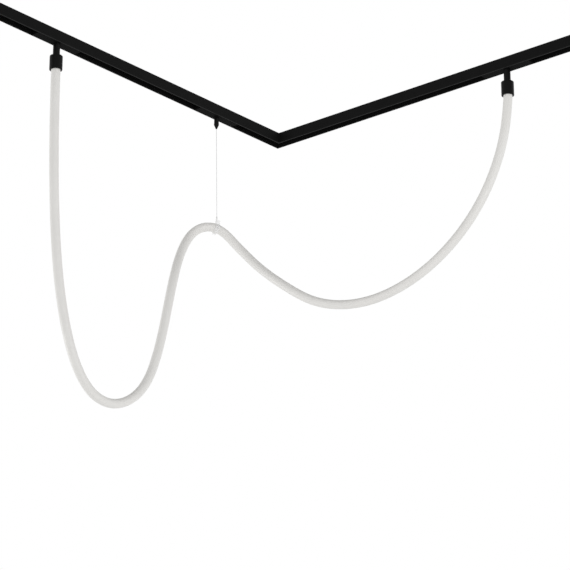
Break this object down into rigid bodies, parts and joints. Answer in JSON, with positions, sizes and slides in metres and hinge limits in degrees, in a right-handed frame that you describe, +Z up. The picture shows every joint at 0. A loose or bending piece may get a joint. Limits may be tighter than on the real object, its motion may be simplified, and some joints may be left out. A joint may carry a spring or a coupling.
{
  "type": "track lighting fixture",
  "caption": "L-shaped black magnetic track with a long flexible light tube looped from sliding adapters and held up between them by a clip on an adjustable wire.",
  "frame": {"origin": "on the ceiling face of the track, where the centre lines of the two arms cross", "axes": "+X along the left arm away from the corner, +Y along the right arm away from the corner, +Z up into the ceiling"},
  "size_m": [1.1036, 1.1288, 0.7919],
  "materials": {
    "black_aluminium": "black anodised, satin",
    "insulator": "matte",
    "steel": "zinc plated",
    "copper": "bare copper alloy",
    "black_plastic": "matte",
    "brass": "plain",
    "magnet": "nickel plated",
    "board": "solder mask",
    "black_metal": "satin black",
    "lead_sheath": "matte",
    "clear_plastic": "clear",
    "silicone": "matte, milky",
    "wire_steel": "bright"
  },
  "bodies": {
    "track": {"corner_track": "black_aluminium", "corner_carrier": "insulator", "corner_keeper_strip": "steel", "corner_inner_conductor": "copper", "corner_outer_conductor": "copper", "left_track": "black_aluminium", "left_carrier": "insulator", "left_keeper_strip": "steel", "left_inner_conductor": "copper", "left_outer_conductor": "copper", "left_end_cap": "black_plastic", "left_splice_plate": "steel", "right_track": "black_aluminium", "right_carrier": "insulator", "right_keeper_strip": "steel", "right_inner_conductor": "copper", "right_outer_conductor": "copper", "right_end_cap": "black_plastic", "right_splice_plate": "steel", "feed_box": "black_plastic", "feed_inner_terminal": "brass", "feed_outer_terminal": "brass", "light_tube": "silicone"},
    "left_adapter": {"left_adapter_housing": "black_plastic", "left_adapter_lid": "black_plastic", "left_adapter_near_magnet": "magnet", "left_adapter_far_magnet": "magnet", "left_driver_board": "board", "left_stem": "black_metal", "left_stem_nut": "steel", "left_tube_cap": "black_metal", "left_cap_screw": "steel", "left_tube_plug": "lead_sheath", "left_lead": "lead_sheath"},
    "right_adapter": {"right_adapter_housing": "black_plastic", "right_adapter_lid": "black_plastic", "right_adapter_near_magnet": "magnet", "right_adapter_far_magnet": "magnet", "right_driver_board": "board", "right_stem": "black_metal", "right_stem_nut": "steel", "right_tube_cap": "black_metal", "right_cap_screw": "steel", "right_tube_plug": "lead_sheath", "right_lead": "lead_sheath"},
    "left_contacts": {"left_inner_contact": "brass", "left_outer_contact": "brass"},
    "right_contacts": {"right_inner_contact": "brass", "right_outer_contact": "brass"},
    "hanger": {"hanger_housing": "black_plastic", "hanger_lid": "black_plastic", "hanger_near_magnet": "magnet", "hanger_far_magnet": "magnet", "gripper_body": "black_metal", "gripper_nut": "steel", "gripper_spring": "steel", "suspension_wire": "wire_steel"},
    "plunger": {"gripper_plunger": "black_metal"},
    "clip": {"tube_clip": "clear_plastic", "wire_crimp": "clear_plastic"}
  },
  "joints": [
    {"name": "left_adapter_slide", "type": "slide", "parent": "track", "child": "left_adapter", "axis": [1, 0, 0], "range_m": [-0.1, 0.1], "deforming": ["light_tube"]},
    {"name": "right_adapter_slide", "type": "slide", "parent": "track", "child": "right_adapter", "axis": [0, 1, 0], "range_m": [-0.1, 0.1], "deforming": ["light_tube"]},
    {"name": "hanger_slide", "type": "slide", "parent": "track", "child": "hanger", "axis": [1, 0, 0], "range_m": [-0.03, 0.06], "deforming": ["light_tube"]},
    {"name": "clip_height", "type": "slide", "parent": "hanger", "child": "clip", "axis": [0, 0, 1], "range_m": [-0.06, 0.06], "deforming": ["light_tube", "suspension_wire"]},
    {"name": "gripper_plunger_press", "type": "slide", "parent": "hanger", "child": "plunger", "axis": [0, 0, 1], "range_m": [0, 0.002], "stiffness_N_per_m": 300, "springref_m": -0.001, "deforming": ["gripper_spring"]},
    {"name": "left_contact_press", "type": "slide", "parent": "left_adapter", "child": "left_contacts", "axis": [0, 0, 1], "range_m": [-0.001, 0], "stiffness_N_per_m": 200, "springref_m": 0.0005},
    {"name": "right_contact_press", "type": "slide", "parent": "right_adapter", "child": "right_contacts", "axis": [0, 0, 1], "range_m": [-0.001, 0], "stiffness_N_per_m": 200, "springref_m": 0.0005}
  ]
}
